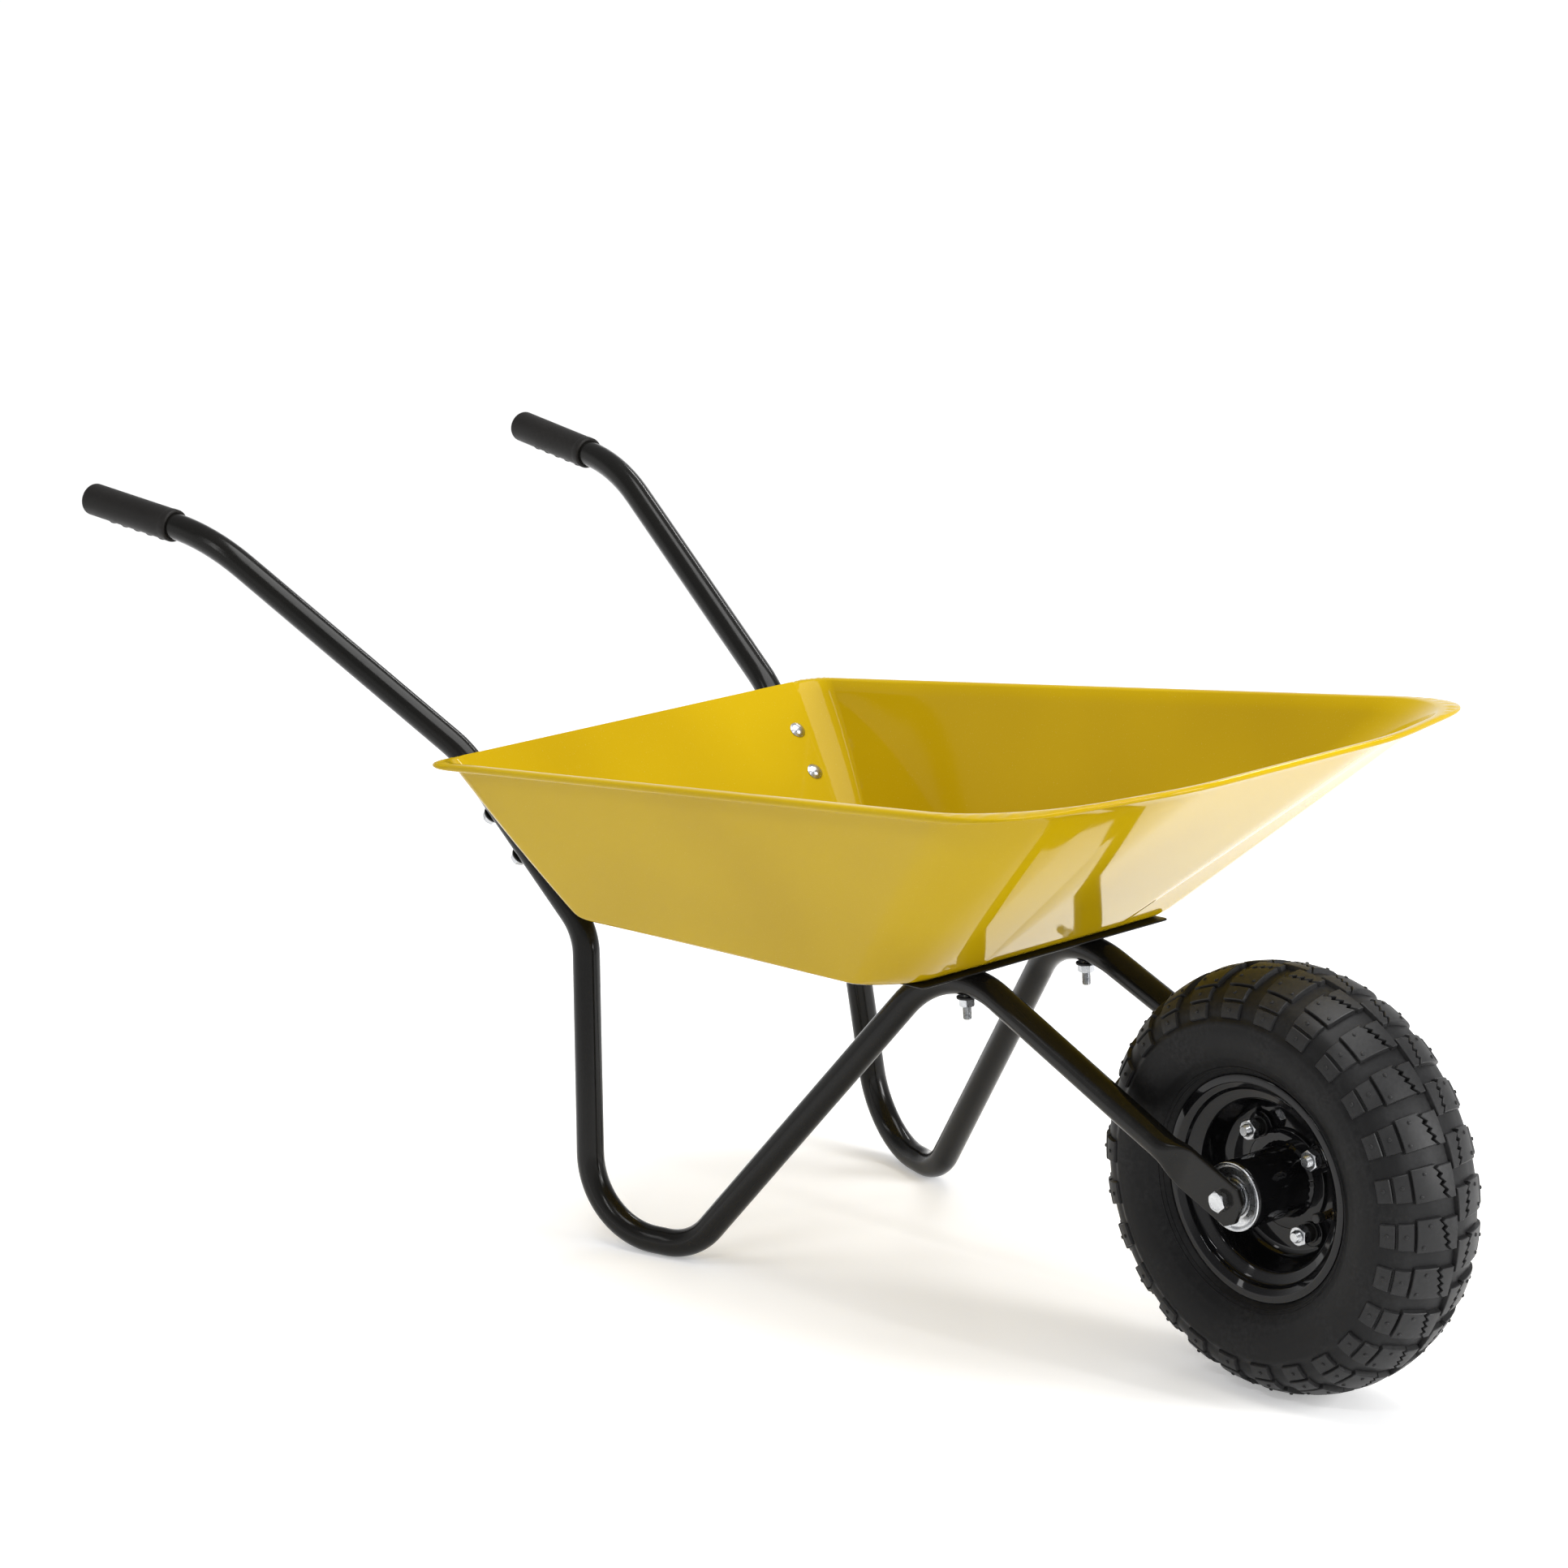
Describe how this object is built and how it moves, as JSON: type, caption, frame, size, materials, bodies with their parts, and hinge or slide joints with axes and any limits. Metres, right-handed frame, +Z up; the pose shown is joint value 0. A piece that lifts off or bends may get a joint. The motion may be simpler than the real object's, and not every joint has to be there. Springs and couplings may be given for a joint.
{
  "type": "wheelbarrow",
  "caption": "Garden wheelbarrow with a pressed steel tray on bent tube handles and legs, and a balloon-tyred front wheel that spins.",
  "frame": {"origin": "on the ground, below the middle of the whole barrow's box", "axes": "+X forward from the grips to the wheel, +Y to the left-hand side, +Z up"},
  "size_m": [1.4881, 0.5734, 0.6278],
  "materials": {
    "tray_paint": "gloss golden yellow enamel",
    "frame_paint": "gloss black enamel",
    "grip_rubber": "matt dark grey rubber",
    "zinc": "bright zinc plate",
    "black_washer": "black plated steel",
    "rim_paint": "gloss black enamel",
    "tyre_rubber": "matt black tyre rubber",
    "tube_rubber": "butyl rubber",
    "bearing_steel": "ground steel",
    "valve_brass": "plain brass",
    "cap_plastic": "black plastic"
  },
  "bodies": {
    "frame": {"tray": "tray_paint", "cross_plate": "frame_paint", "frame_tube_left": "frame_paint", "frame_tube_right": "frame_paint", "grip_left": "grip_rubber", "grip_right": "grip_rubber", "rear_tray_bolts": "zinc", "rear_tray_washers": "black_washer", "rear_tray_nuts": "zinc", "front_tray_bolts": "zinc", "front_tray_washers": "black_washer", "front_tray_nuts": "zinc", "axle_bolt": "zinc", "axle_washer": "zinc", "axle_nut": "zinc", "axle_sleeve": "zinc", "spacer_collars": "zinc", "bearing_inner_races": "bearing_steel"},
    "wheel": {"bearing_outer_races": "bearing_steel", "bearing_balls": "bearing_steel", "dust_cover_left": "zinc", "dust_cover_right": "zinc", "hub_left": "rim_paint", "hub_right": "rim_paint", "rim_left": "rim_paint", "rim_right": "rim_paint", "hub_bolts": "zinc", "hub_spacers": "black_washer", "hub_nuts": "zinc", "tyre": "tyre_rubber", "inner_tube": "tube_rubber", "valve_stem": "valve_brass", "valve_cap": "cap_plastic"}
  },
  "joints": [
    {"name": "wheel_spin", "type": "hinge", "parent": "frame", "child": "wheel", "pos_m": [0.5615, 0, 0.1825], "axis": [0, 1, 0], "continuous": true}
  ]
}
